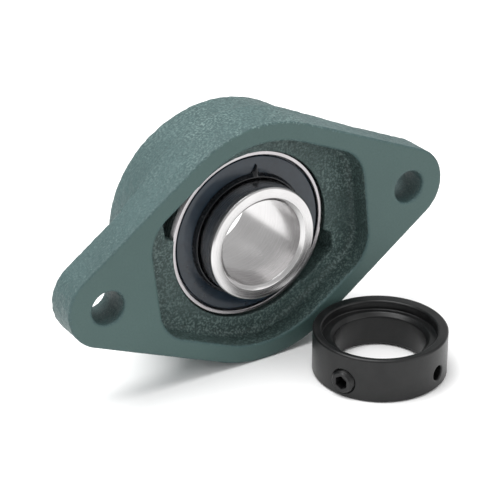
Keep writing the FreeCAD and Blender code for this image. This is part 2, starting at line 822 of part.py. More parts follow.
def make_collar():
    """The collar stands on its plain end, with the eccentric recess up and the set screw along its X."""
    body = new_body("locking_collar")
    pad(body, disc(body, "collar_blank", "dim.collar_radius"), "dim.collar_height")
    turn = "dim.collar_recess_turn * 1 deg"
    recess = disc(
        body,
        "collar_recess",
        "dim.collar_recess_radius",
        "dim.cam_offset * cos(%s)" % turn,
        "dim.cam_offset * sin(%s)" % turn,
        lift="dim.collar_height",
    )
    pocket(body, recess, "dim.collar_recess_depth")
    pocket(body, disc(body, "collar_bore", "dim.collar_bore_radius"))
    ledge = dim.collar_height - dim.collar_recess_depth
    for name, radius, level, size in (
        ("collar_foot_chamfer", dim.collar_radius, 0, "dim.collar_edge_chamfer"),
        ("collar_top_chamfer", dim.collar_radius, dim.collar_height, "dim.collar_edge_chamfer"),
        ("recess_chamfer", dim.collar_recess_radius, dim.collar_height, "dim.collar_edge_chamfer"),
        ("ledge_chamfer", dim.collar_bore_radius, ledge, "dim.collar_ledge_chamfer"),
        ("collar_bore_chamfer", dim.collar_bore_radius, 0, "dim.collar_bore_chamfer"),
    ):
        dressed(body, "Chamfer", name, ring_edge(radius, level, dim.cam_offset), size)
    primitive(
        body,
        "SubtractiveCylinder",
        "screw_hole",
        radial(0, dim.screw_level, 0),
        Radius="dim.screw_radius + dim.screw_hole_clearance",
        Height="dim.collar_radius + 1",
    )
    primitive(
        body,
        "SubtractiveCylinder",
        "drift_hole",
        radial(90, dim.screw_level, dim.collar_radius - dim.drift_hole_depth),
        Radius="dim.drift_hole_radius",
        Height="dim.drift_hole_depth + 1",
    )
    body.Placement = collar_place
    return body


def make_set_screw():
    """A hexagon-socket set screw with a cup point; its Z runs outwards."""
    body = new_body("set_screw")
    level_place = FreeCAD.Placement()
    primitive(
        body,
        "AdditiveCylinder",
        "screw_blank",
        level_place,
        Radius="dim.screw_radius",
        Height="dim.screw_length",
    )
    for name, level in (("point_chamfer", 0), ("head_chamfer", dim.screw_length)):
        dressed(body, "Chamfer", name, ring_edge(dim.screw_radius, level), "dim.screw_chamfer")
    primitive(
        body,
        "SubtractivePrism",
        "hexagon_socket",
        FreeCAD.Placement(
            FreeCAD.Vector(0, 0, dim.screw_length - dim.screw_key_depth), FreeCAD.Rotation()
        ),
        Circumradius="dim.screw_key / sqrt(3)",
        Height="dim.screw_key_depth + 1",
    )
    primitive(
        body,
        "SubtractiveCone",
        "cup_point",
        level_place,
        Radius1="dim.screw_radius / 2",
        Radius2="0",
        Height="dim.screw_radius / 4",
    )
    start = dim.collar_radius + dim.screw_stand_out - dim.screw_length
    body.Placement = collar_place.multiply(radial(0, dim.screw_level, start))
    return body


# ---------------------------------------------------------------- grease fitting


def make_fitting():
    """The nipple: a threaded shank, a hexagon, a waisted head, and a stepped bore for ball and spring."""
    body = new_body("grease_fitting_body")
    foot, hexagon = "-dim.fitting_thread_length", "dim.fitting_hex_height"
    section = polygon(
        body,
        "fitting_section",
        [
            ("dim.fitting_end_hole_radius", foot),
            ("dim.fitting_thread_radius - dim.ring_chamfer", foot),
            ("dim.fitting_thread_radius", foot + " + dim.ring_chamfer"),
            ("dim.fitting_thread_radius", hexagon),
            ("dim.fitting_neck_radius", "dim.fitting_neck_start"),
            ("dim.fitting_neck_radius", "dim.fitting_neck_end"),
            ("dim.fitting_head_radius", "dim.fitting_head_start"),
            ("dim.fitting_head_radius", "dim.fitting_head_end"),
            ("dim.fitting_mouth_radius + dim.fitting_mouth_rim", "dim.fitting_length"),
            ("dim.fitting_mouth_radius", "dim.fitting_length"),
            ("dim.fitting_mouth_radius", "dim.fitting_length - dim.fitting_mouth_depth"),
            ("dim.fitting_bore_radius", "dim.fitting_length - dim.fitting_seat_depth"),
            ("dim.fitting_bore_radius", foot + " + dim.fitting_end_wall"),
            ("dim.fitting_end_hole_radius", foot + " + dim.fitting_end_wall"),
        ],
    )
    turned(body, "Revolution", section)
    primitive(
        body,
        "AdditivePrism",
        "fitting_hexagon",
        FreeCAD.Placement(),
        Circumradius="dim.fitting_hex_across / sqrt(3)",
        Height=hexagon,
    )
    pocket(body, disc(body, "fitting_bore", "dim.fitting_bore_radius"), hexagon, backwards=True)
    body.Placement = fitting_placement()
    return body


def make_check_ball():
    ball = part_sphere("grease_fitting_ball", "dim.fitting_ball_radius")
    up = FreeCAD.Placement(FreeCAD.Vector(0, 0, dim.fitting_ball_level), FreeCAD.Rotation())
    ball.Placement = fitting_placement().multiply(up)
    return ball


def make_spring():
    """A compression spring that pushes the check ball against its seat."""
    coil = add(
        "Part::Helix",
        "spring_coil",
        Radius="dim.spring_mean_radius",
        Height="dim.spring_length",
        Pitch="dim.spring_length / dim.spring_turns",
    )
    wire = add("Part::Circle", "spring_wire", Radius="dim.spring_wire_radius")
    wire.Placement = FreeCAD.Placement(
        FreeCAD.Vector(dim.spring_mean_radius, 0, 0), FreeCAD.Rotation(FreeCAD.Vector(1, 0, 0), 90)
    )
    spring = made_of(
        "Sweep", "grease_fitting_spring", Sections=[wire], Spine=coil, Solid=True, Frenet=True
    )
    doc.recompute()
    bottom = dim.fitting_end_wall + dim.spring_wire_radius - dim.fitting_thread_length
    spring.Placement = fitting_placement().multiply(
        FreeCAD.Placement(FreeCAD.Vector(0, 0, bottom), FreeCAD.Rotation())
    )
    return spring


# ---------------------------------------------------------------- the whole part


def write_parts(made):
    """Checks every object and every sub-part, then writes one file for each sub-part."""
    doc.recompute()
    for thing in doc.Objects:
        if "Invalid" in thing.State or "Error" in thing.State:
            raise RuntimeError(thing.Name + " failed: " + str(thing.State))
    for piece in made:
        if piece.Shape.isNull() or not piece.Shape.isValid():
            raise RuntimeError(piece.Label + " has no sound shape")
    for piece in made:
        piece.Shape.exportStep("parts/%s.step" % piece.Label)
        print("%-24s %2d solid %10.2f mm3" % (piece.Label, len(piece.Shape.Solids), piece.Shape.Volume))


sub_parts = [make_housing(), make_outer_ring(), make_inner_ring()]
sub_parts += make_balls()
sub_parts += make_cage()
for side, sign in (("rear", "-"), ("front", "")):
    sub_parts += [make_shield(side, sign), make_lip(side, sign)]
sub_parts += [make_collar(), make_set_screw()]
sub_parts += [make_fitting(), make_check_ball(), make_spring()]
write_parts(sub_parts)
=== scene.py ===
import json
import math

import bmesh
import bpy
import numpy as np
from mathutils import Matrix, Vector, noise


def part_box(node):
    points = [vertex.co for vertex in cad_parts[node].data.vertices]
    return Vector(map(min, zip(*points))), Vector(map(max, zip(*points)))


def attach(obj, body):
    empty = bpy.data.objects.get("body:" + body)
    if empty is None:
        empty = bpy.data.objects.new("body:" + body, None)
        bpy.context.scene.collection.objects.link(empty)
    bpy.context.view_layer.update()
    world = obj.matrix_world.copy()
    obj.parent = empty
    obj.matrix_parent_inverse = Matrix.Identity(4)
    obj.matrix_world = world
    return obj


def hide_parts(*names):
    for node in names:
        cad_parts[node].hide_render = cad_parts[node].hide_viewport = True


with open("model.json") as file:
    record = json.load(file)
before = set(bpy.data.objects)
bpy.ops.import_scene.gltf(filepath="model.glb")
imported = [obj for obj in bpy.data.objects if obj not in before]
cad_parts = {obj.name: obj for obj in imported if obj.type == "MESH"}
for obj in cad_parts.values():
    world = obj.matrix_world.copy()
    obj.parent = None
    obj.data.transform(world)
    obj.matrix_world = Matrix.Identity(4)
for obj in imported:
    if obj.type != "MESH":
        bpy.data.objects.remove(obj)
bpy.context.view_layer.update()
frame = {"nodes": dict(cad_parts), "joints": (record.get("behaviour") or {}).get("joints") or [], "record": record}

MM = 0.001

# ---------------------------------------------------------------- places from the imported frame

mounts = {mount["name"]: mount for mount in frame["record"]["mounts"]}
joints = {joint["name"]: joint for joint in frame["joints"]}


def box_of(node):
    """A CAD node's lowest and highest corners in millimetres."""
    low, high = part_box(node)
    return np.array(low) / MM, np.array(high) / MM


face_mark = mounts["mounting_face"]["pos_m"]
ROLL = math.atan2(face_mark[2], face_mark[0])
SHAFT = np.array(
    [[math.cos(ROLL), math.sin(ROLL), 0], [0, 0, 1], [math.sin(ROLL), -math.cos(ROLL), 0]]
)  # columns: bolt line, across it downwards, shaft axis
ring_low, ring_high = box_of("outer_ring")
CENTRE = (ring_low[1] + ring_high[1]) / 2
collar_low, collar_high = box_of("locking_collar")
FLOOR = box_of("housing")[0][2]

nipple = mounts["grease_nipple"]
nipple_tip = np.array(nipple["pos_m"]) / MM @ SHAFT
nipple_way = np.array(nipple["axis"]) @ SHAFT

# ---------------------------------------------------------------- sizes in millimetres

BOLT_REACH, BOLT_HOLE_R = 58.25, 5.75
END_R, WAIST_R, THICK, DEPTH = 13.8, 42.5, 13.5, 34.0
BOSS_R, DRAFT, ROOT = 40.3, math.radians(5), 8.0
RECESS_R, RECESS_HALF, RECESS_CORNER, RECESS_DEPTH = 36.0, 40.5, 14.0, 8.6
SEAT_R, OPENING_R, OPENING_DEPTH = 31.05, 30.2, 5.0
SLOT_HALF, SLOT_TURN, SLOT_SIDE = 9.4, math.radians(36), 30.6
LEAN = math.asin((WAIST_R - END_R) / BOLT_REACH)
NIPPLE_LENGTH, NIPPLE_HOLE_R, NIPPLE_HOLE_DEPTH, SPOT_FACE_R = 10.0, 3.02, 6.0, 5.5
SPOT = nipple_tip - nipple_way * NIPPLE_LENGTH

# rounding of the housing's edges
BACK_ROUND, BOSS_ROUND, RECESS_ROUND = 2.0, 2.5, 2.0
FACE_EDGE, RECESS_EDGE, SEAT_EDGE, OPENING_EDGE = 0.55, 0.6, 0.45, 0.5
SLOT_EDGE, BOLT_EDGE, SPOT_EDGE, NIPPLE_EDGE = 0.4, 0.5, 0.4, 0.3

# uneven cast skin: how fine the lumps and waves are, and how far they sink the surface
LUMP_SCALE, LUMP_FALL, LUMP_STEP, LUMP_OCTAVES = 0.42, 0.9, 2.1, 4
WAVE_SCALE, WAVE_SHIFT = 0.07, Vector((9, 4, 2))
CAST_SINK, LUMP_DEPTH, WAVE_DEPTH, LEAST_SINK, MOST_SINK = 0.11, 0.16, 0.10, 0.004, 0.45

# both rings, the seals and the cam
RING_R, RING_HALF, RING_RIM_R, RING_RIM_LEVEL, RING_LAND_R = 31.0, 9.0, 28.95, 8.0, 25.4
BALL_CIRCLE_R, BALL_R, RACE_R, RACE_PLAY = 23, 4.7625, 4.95, 0.03
SEAL_SEAT_R, SEAL_SEAT_LEVEL, SEAL_INNER_R, SEAL_FACE = 27.7, 6.8, 21.1, 8.6
CAM_R, OFFSET = 18.8, 0.95

# the collar and its set screw
SPIN = math.atan2(joints["set_screw_travel"]["axis"][1], joints["set_screw_travel"]["axis"][0])
COLLAR_R, COLLAR_H, COLLAR_BORE = 22.4, 15.5, 15.1
COLLAR_RECESS, COLLAR_RECESS_DEPTH, RECESS_TURN = 19.1, 3.3, math.radians(18)
COLLAR_BEVEL, LEDGE_BEVEL, BORE_BEVEL, COLLAR_EDGE = 0.5, 1.3, 1.0, 0.08
SCREW_LEVEL, SCREW_R, SCREW_HOLE_R, DRIFT_R, DRIFT_DEPTH = 5.6, 4.0, 4.05, 2.5, 4.5
SCREW_SINK, SCREW_SINK_MOST, SCREW_EDGE = 0.45, 0.6, 0.12
DRIFT_SINK, DRIFT_SINK_MOST, DRIFT_EDGE = 0.3, 0.5, 0.1

# fineness of the meshes
HOUSING_STEP, COLLAR_STEP = 0.62, 0.3
RING_STEPS, LIP_STEPS, SCREW_STEPS, THREAD_STEPS = 288, 720, 144, 96
SPHERE_STEPS, RACE_STEPS, ARC_STEPS, FEW_ARC_STEPS = 32, 16, 4, 3
PULLS, LONGEST_PULL, LEAST_SLOPE, TINY = 3, 0.4, 0.05, 1e-9


# ---------------------------------------------------------------- mesh helpers


def new_object(name, points, faces, frame_of, origin=(0, 0, 0)):
    """A smooth mesh from points in millimetres, turned from its own axes into the row frame."""
    points = (points @ frame_of.T + np.asarray(origin)) * MM
    mesh = bpy.data.meshes.new(name)
    mesh.from_pydata(points.tolist(), [], [tuple(int(i) for i in face) for face in faces])
    mesh.update()
    mesh.polygons.foreach_set("use_smooth", np.ones(len(mesh.polygons), bool))
    made = bpy.data.objects.new(name, mesh)
    bpy.context.scene.collection.objects.link(made)
    return made


def place(made, body, node):
    """Joins a piece to its body, in place of a CAD node."""
    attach(made, body)
    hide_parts(node)


def skin(field, low, high, step):
    """The zero surface of a field: one point in each cell it crosses, pulled onto the surface."""
    counts = [int(math.ceil((b - a) / step)) + 1 for a, b in zip(low, high)]
    axes = [a + step * np.arange(n) for a, n in zip(low, counts)]
    values = field(*np.meshgrid(*axes, indexing="ij"))
    quads, spots = [], []
    for axis in range(3):
        near = [slice(None)] * 3
        far = [slice(None)] * 3
        near[axis], far[axis] = slice(0, -1), slice(1, None)
        first, second = values[tuple(near)], values[tuple(far)]
        hit = np.argwhere((first < 0) != (second < 0))
        a, b = first[tuple(hit.T)], second[tuple(hit.T)]
        spot = hit.astype(float)
        spot[:, axis] += a / (a - b)
        u, v = (axis + 1) % 3, (axis + 2) % 3
        ring = []
        for du, dv in ((0, 0), (1, 0), (1, 1), (0, 1)):
            cell = hit.copy()
            cell[:, u] -= du
            cell[:, v] -= dv
            ring.append(np.ravel_multi_index(cell.T, values.shape))
        ring = np.stack(ring, 1)
        ring[a >= 0] = ring[a >= 0][:, ::-1]
        quads.append(ring)
        spots.append(np.repeat(spot, 4, axis=0))
    spots = np.concatenate(spots)
    _, where = np.unique(np.concatenate(quads).ravel(), return_inverse=True)
    weight = np.bincount(where)
    points = np.stack([np.bincount(where, weights=spots[:, k]) / weight for k in range(3)], 1)
    points = np.asarray(low) + points * step
    for _ in range(PULLS):
        value = field(*points.T)
        slope = gradient(field, points)
        size = np.maximum((slope**2).sum(1), LEAST_SLOPE)
        move = -value[:, None] * slope / size[:, None]
        length = np.linalg.norm(move, axis=1, keepdims=True)
        points = points + move * np.minimum(1, LONGEST_PULL * step / np.maximum(length, TINY))
    return points, where.reshape(-1, 4)


def gradient(field, points, reach=0.02):
    """The slope of a field at points, from its values a short reach to each side."""
    slope = np.empty_like(points)
    for k in range(3):
        shift = np.zeros(3)
        shift[k] = reach
        slope[:, k] = (field(*(points + shift).T) - field(*(points - shift).T)) / (2 * reach)
    return slope


def both(a, b, radius):
    """The common part of two solids, its edge rounded."""
    u, v = np.maximum(radius + a, 0), np.maximum(radius + b, 0)
    return np.minimum(-radius, np.maximum(a, b)) + np.hypot(u, v)


def without(a, b, radius):
    """A solid less another, the edge rounded."""
    return both(a, -b, radius)


def turned_mesh(name, profile, steps, frame_of, origin, closed=True):
    """A body turned about its Z; profile(angle) gives its outline as rows of radius and level."""
    angles = np.arange(steps) * 2 * math.pi / steps
    rows = np.stack([profile(angle) for angle in angles])
    ahead = np.roll(rows[0], -1, axis=0)
    if (rows[0, :, 0] * ahead[:, 1] - ahead[:, 0] * rows[0, :, 1]).sum() < 0:
        rows = rows[:, ::-1]
    count = rows.shape[1]
    points = np.stack(
        [
            rows[:, :, 0] * np.cos(angles)[:, None],
            rows[:, :, 0] * np.sin(angles)[:, None],
            rows[:, :, 1],
        ],
        2,
    ).reshape(-1, 3)
    faces = []
    last = count if closed else count - 1
    for i in range(steps):
        j = (i + 1) % steps
        for k in range(last):
            m = (k + 1) % count
            faces.append((i * count + k, j * count + k, j * count + m, i * count + m))
    return new_object(name, points, faces, frame_of, origin)


def rounded(corners, arc_steps=ARC_STEPS):
    """A closed outline with each corner (radius, level, rounding) replaced by a small arc."""
    out = []
    count = len(corners)
    for i in range(count):
        before = np.array(corners[i - 1][:2], float)
        here = np.array(corners[i][:2], float)
        after = np.array(corners[(i + 1) % count][:2], float)
        size = corners[i][2]
        a, b = before - here, after - here
        la, lb = np.linalg.norm(a), np.linalg.norm(b)
        a, b = a / la, b / lb
        turn = math.acos(max(-1, min(1, float(a @ b))))
        if size <= 0:
            out.append(here)
            continue
        cut = min(size / math.tan(turn / 2), 0.45 * la, 0.45 * lb)
        radius = cut * math.tan(turn / 2)
        middle = here + (a + b) / np.linalg.norm(a + b) * (radius / math.sin(turn / 2))
        start, stop = here + a * cut - middle, here + b * cut - middle
        angle = math.atan2(start[1], start[0])
        sweep = math.atan2(start[0] * stop[1] - start[1] * stop[0], float(start @ stop))
        for k in range(arc_steps + 1):
            t = angle + sweep * k / arc_steps
            out.append(middle + radius * np.array([math.cos(t), math.sin(t)]))
    return np.array(out)


# ---------------------------------------------------------------- materials


class Nodes:
    """A new node material and short ways to join its nodes."""

    def __init__(self, name):
        self.material = bpy.data.materials.new(name)
        self.material.use_nodes = True
        self.tree = self.material.node_tree
        self.shader = next(n for n in self.tree.nodes if n.type == "BSDF_PRINCIPLED")
        self.place = self.node("ShaderNodeTexCoord").outputs["Object"]

    def node(self, kind, **values):
        made = self.tree.nodes.new(kind)
        for key, value in values.items():
            setattr(made, key, value)
        return made

    def link(self, a, b):
        self.tree.links.new(a, b)

    def set(self, **values):
        for key, value in values.items():
            self.shader.inputs[key.replace("_", " ")].default_value = value

    def noise(self, scale, detail=4.0, roughness=0.55, where=None):
        made = self.node("ShaderNodeTexNoise")
        made.inputs["Scale"].default_value = scale
        made.inputs["Detail"].default_value = detail
        made.inputs["Roughness"].default_value = roughness
        self.link(where or self.place, made.inputs["Vector"])
        return made.outputs["Fac"]

    def span(self, value, low, high, to_low, to_high):
        made = self.node("ShaderNodeMapRange", clamp=True)
        limits = {"From Min": low, "From Max": high, "To Min": to_low, "To Max": to_high}
        for key, number in limits.items():
            made.inputs[key].default_value = number
        self.link(value, made.inputs["Value"])
        return made.outputs["Result"]

    def mix(self, fac, a, b):
        """A colour between two, each a colour or a socket."""
        made = self.node("ShaderNodeMix", data_type="RGBA")
        self.link(fac, made.inputs["Factor"])
        for key, value in (("A", a), ("B", b)):
            socket = next(s for s in made.inputs if s.name == key and s.type == "RGBA")
            if isinstance(value, (tuple, list)):
                socket.default_value = (*value[:3], 1)
            else:
                self.link(value, socket)
        return next(s for s in made.outputs if s.type == "RGBA")

    def times(self, a, b):
        made = self.node("ShaderNodeMath", operation="MULTIPLY")
        self.link(a, made.inputs[0])
        self.link(b, made.inputs[1])
        return made.outputs[0]

    def split(self):
        made = self.node("ShaderNodeSeparateXYZ")
        self.link(self.place, made.inputs[0])
        return made.outputs

    def bump(self, height, strength, distance, after=None):
        made = self.node("ShaderNodeBump")
        made.inputs["Strength"].default_value = strength
        made.inputs["Distance"].default_value = distance
        self.link(height, made.inputs["Height"])
        if after is not None:
            self.link(after, made.inputs["Normal"])
        return made.outputs["Normal"]

    def to(self, key, socket):
        self.link(socket, self.shader.inputs[key])


# Noise scales are in cells per metre, bump distances in metres.
CLOUD_SCALE, PATCH_SCALE, SAND_SCALE, PEEL_SCALE = 45, 60, 1350, 350
TURNING_SCALE, STAIN_SCALE, MOTTLE_SCALE = 9000.0, 120, 140
PEEL_BUMP, TURNING_BUMP, MOULD_BUMP, SHEET_BUMP = 0.00008, 0.00002, 0.00003, 0.00001
OXIDE_GLOSS, ENAMEL_GLOSS, FLOOR_GLOSS = 0.34, 0.35, 0.1


def painted(name, dark, base, light, grain, depth, rough, speckle=0.4, grit=(0.022, 0.040)):
    """Grey-green enamel: dark in the hollows, light where the grain stands high.

    grain is the scale of the casting's grain, depth how far it stands out (0 on the machined
    face), speckle the strength of the light specks, and grit the two heights between which
    the coarse sand skin comes in: real grit, its specks lightened with painted highlights and
    its pits darkened with painted shade. On the cast these heights are the top, where the
    overhead light grazes."""
    made = Nodes(name)
    broad = made.span(made.noise(CLOUD_SCALE, 3), 0.35, 0.65, 0, 1)
    fine = made.noise(grain, 5, 0.62)
    speck = made.span(fine, 0.40, 0.66, 0, 1)
    shade = made.mix(broad, base, tuple(0.5 * (a + b) for a, b in zip(base, dark)))
    hollows = made.mix(made.span(fine, 0.30, 0.50, 1, 0), shade, dark)
    colour = made.mix(made.span(speck, 0.7, 1.0, 0, speckle), hollows, light)
    if depth:
        # Painted highlights on the sand grit's specks and painted shade in its pits, between the grit heights: on
        # the cast only the top, where the overhead light grazes.
        upper = made.span(made.split()["Z"], *grit, 0, 1)
        patchy = made.span(made.noise(PATCH_SCALE, 3), 0.40, 0.60, 0.35, 1)
        sand = made.noise(SAND_SCALE, 2, 0.5)
        grit_highlight = made.times(made.times(upper, patchy), made.span(sand, 0.52, 0.60, 0, 0.8))
        grit_shade = made.times(upper, made.span(sand, 0.38, 0.46, 0.8, 0))
        colour = made.mix(grit_highlight, made.mix(grit_shade, colour, dark), light)
        lumps = made.bump(made.noise(grain * 0.45, 3), 0.6, depth * 1.6)
        made.to("Normal", made.bump(fine, 0.8, depth, lumps))
    else:
        made.to("Normal", made.bump(made.noise(PEEL_SCALE, 3), 0.12, PEEL_BUMP))
    made.to("Base Color", colour)
    made.to("Roughness", made.span(fine, 0.3, 0.7, rough + 0.08, rough - 0.08))
    made.set(Specular_IOR_Level=ENAMEL_GLOSS)
    return made.material


def ground_steel(name, base, rough):
    """Bright steel with fine turning lines round the shaft axis and faint stains."""
    made = Nodes(name)
    spot = made.split()
    around = made.node("ShaderNodeCombineXYZ")
    made.link(spot["X"], around.inputs["X"])
    made.link(spot["Z"], around.inputs["Y"])
    length = made.node("ShaderNodeVectorMath", operation="LENGTH")
    made.link(around.outputs[0], length.inputs[0])
    lines = made.node("ShaderNodeCombineXYZ")
    made.link(length.outputs["Value"], lines.inputs["X"])
    made.link(spot["Y"], lines.inputs["Y"])
    streak = made.noise(TURNING_SCALE, 2, 0.6, lines.outputs[0])
    stain = made.span(made.noise(STAIN_SCALE, 3), 0.3, 0.7, 0, 1)
    made.to("Base Color", made.mix(stain, tuple(0.9 * c for c in base), base))
    made.to("Roughness", made.span(streak, 0.3, 0.7, rough - 0.05, rough + 0.08))
    made.to("Normal", made.bump(streak, 0.25, TURNING_BUMP))
    made.set(Metallic=1.0)
    return made.material


def black_finish(name, dark, light, rough, grain, bump=MOULD_BUMP, gloss=0.5):
    """Blackened or moulded dark surface with faint mottling."""
    made = Nodes(name)
    mottle = made.noise(grain, 4, 0.6)
    broad = made.span(made.noise(MOTTLE_SCALE, 3), 0.35, 0.65, 0, 1)
    tone = made.mix(broad, dark, light)
    made.to("Base Color", made.mix(made.span(mottle, 0.4, 0.75, 0, 0.5), tone, light))
    made.to("Roughness", made.span(mottle, 0.3, 0.7, rough + 0.05, rough - 0.05))
    made.to("Normal", made.bump(mottle, 0.35, bump))
    made.set(Specular_IOR_Level=gloss)
    return made.material


PAINT_FACE = painted(
    "paint_face",
    dark=(0.046, 0.086, 0.081),
    base=(0.053, 0.098, 0.092),
    light=(0.064, 0.113, 0.107),
    grain=1500,
    depth=0,
    rough=0.5,
)
PAINT_CAST = painted(
    "paint_cast",
    dark=(0.036, 0.068, 0.068),
    base=(0.056, 0.103, 0.103),
    light=(0.15, 0.22, 0.21),
    grain=1500,
    depth=0.0003,
    rough=0.48,
)
# The recess's paint is rougher and grittier than the rest, and darker as painted shade: the same paint lies in the
# recess's shadow.
PAINT_RECESS_SHADED = painted(
    "paint_recess_shaded",
    dark=(0.028, 0.048, 0.045),
    base=(0.046, 0.078, 0.074),
    light=(0.13, 0.185, 0.175),
    grain=1900,
    depth=0.00035,
    rough=0.45,
    speckle=0.7,
    grit=(-0.9, -0.8),
)
RING_STEEL = ground_steel("ring_steel", (0.62, 0.61, 0.61), 0.22)
RIM_STEEL = ground_steel("outer_ring_steel", (0.47, 0.45, 0.46), 0.25)
BALL_STEEL = ground_steel("ball_steel_polished", (0.8, 0.8, 0.8), 0.1)
CAGE_STEEL = ground_steel("cage_steel_pressed", (0.5, 0.49, 0.47), 0.38)
ZINC = ground_steel("zinc_plated", (0.62, 0.6, 0.54), 0.32)
SEAL_SHEET = black_finish(
    "seal_sheet_enamel", (0.008, 0.015, 0.024), (0.014, 0.025, 0.038), 0.18, 700, SHEET_BUMP
)
SEAL_RUBBER = black_finish(
    "seal_rubber_black", (0.004, 0.0045, 0.006), (0.01, 0.011, 0.014), 0.25, 1200
)
BLACK_OXIDE = black_finish(
    "black_oxide_steel",
    (0.0035, 0.0038, 0.004),
    (0.009, 0.0092, 0.0095),
    0.34,
    1800,
    gloss=OXIDE_GLOSS,
)
SCREW_BLACK = black_finish(
    "black_oxide_screw",
    (0.005, 0.005, 0.0055),
    (0.012, 0.012, 0.0125),
    0.34,
    2200,
    gloss=OXIDE_GLOSS,
)


def coat(node, material):
    """Gives a carried-over CAD node its material."""
    mesh = frame["nodes"][node].data
    mesh.materials.clear()
    mesh.materials.append(material)


# ---------------------------------------------------------------- housing


def flange_shape(x, y):
    """Signed distance to the flange's outline, the hull of its waist and end circles."""
    along, across = np.abs(x), np.abs(y)
    slope = (WAIST_R - END_R) / BOLT_REACH
    rise = math.sqrt(1 - slope * slope)
    k = along * rise - across * slope
    side = across * rise + along * slope - WAIST_R
    waist = np.hypot(along, across) - WAIST_R
    end = np.hypot(along - BOLT_REACH, across) - END_R
    return np.where(k < 0, waist, np.where(k > rise * BOLT_REACH, end, side))


def recess_shape(x, y):
    """Signed distance to the recess's outline: inside the flange's, with two straight ends."""
    along, across = np.abs(x), np.abs(y)
    inner, stop = RECESS_R - RECESS_CORNER, RECESS_HALF - RECESS_CORNER
    sine, cosine = math.sin(LEAN), math.cos(LEAN)
    corner = (inner - stop * sine) / cosine
    slant = np.where(
        along * cosine < across * sine, np.hypot(along, across), along * sine + across * cosine
    )
    slant = slant - inner
    q, up = along - stop, across - corner
    beyond = (up > 0) & (q * cosine - up * sine > 0)
    return np.where(beyond, np.hypot(q, up), np.maximum(slant, q)) - RECESS_CORNER


def boss_profile(radius, z):
    """Signed distance to the flange's back, the root blend and the boss's drafted side.

    Also says where the plain flange lies, outside the blend."""
    back = z - THICK
    side = (radius - BOSS_R) * math.cos(DRAFT) + (z - DEPTH) * math.sin(DRAFT)
    middle_r = BOSS_R + ROOT / math.cos(DRAFT) + (DEPTH - THICK - ROOT) * math.tan(DRAFT)
    dr, dz = radius - middle_r, z - (THICK + ROOT)
    beta = -dr / math.cos(DRAFT)
    alpha = -dz - beta * math.sin(DRAFT)
    blend = ROOT - np.hypot(dr, dz)
    return np.where((alpha > 0) & (beta > 0), blend, np.minimum(back, side)), dr > 0


def from_seat(x, y, z):
    """Signed distance to the spherical seat."""
    return np.sqrt(x * x + y * y + (z - CENTRE) ** 2) - SEAT_R


def from_bolt_holes(x, y):
    """Signed distance to the two bolt holes."""
    return np.hypot(np.abs(x) - BOLT_REACH, y) - BOLT_HOLE_R


def housing_field(x, y, z):
    """The housing as one solid: negative inside, with its edges rounded."""
    radius = np.hypot(x, y)
    outline = flange_shape(x, y)
    profile, over_flange = boss_profile(radius, z)
    flange = both(outline, z - THICK, BACK_ROUND)
    solid = np.where(over_flange, flange, np.maximum(outline, profile))
    solid = both(solid, z - DEPTH, BOSS_ROUND)
    solid = both(solid, -z, FACE_EDGE)
    recess = both(recess_shape(x, y), z - RECESS_DEPTH, RECESS_ROUND)
    solid = without(solid, recess, RECESS_EDGE)
    solid = without(solid, from_seat(x, y, z), SEAT_EDGE)
    opening = np.maximum(radius - OPENING_R, DEPTH - OPENING_DEPTH - z)
    solid = without(solid, opening, OPENING_EDGE)
    across = np.abs(x * math.sin(SLOT_TURN) - y * math.cos(SLOT_TURN)) - SLOT_HALF
    slanted = np.abs(x * math.sin(LEAN) + y * math.cos(LEAN)) - SLOT_SIDE
    slots = np.maximum(np.maximum(np.abs(x) - SEAT_R, across), np.maximum(slanted, z - CENTRE))
    solid = without(solid, slots, SLOT_EDGE)
    solid = without(solid, from_bolt_holes(x, y), BOLT_EDGE)
    dx, dy, dz = x - SPOT[0], y - SPOT[1], z - SPOT[2]
    along = dx * nipple_way[0] + dy * nipple_way[1] + dz * nipple_way[2]
    off = np.sqrt(np.maximum(dx * dx + dy * dy + dz * dz - along * along, 0))
    solid = without(solid, np.maximum(off - SPOT_FACE_R, -along), SPOT_EDGE)
    hole = np.maximum(off - NIPPLE_HOLE_R, -along - NIPPLE_HOLE_DEPTH)
    return without(solid, hole, NIPPLE_EDGE)


def ramp(value, start, width, least=0.0):
    """Rises from least to 1 over a width."""
    return np.clip((value - start) / width, least, 1)


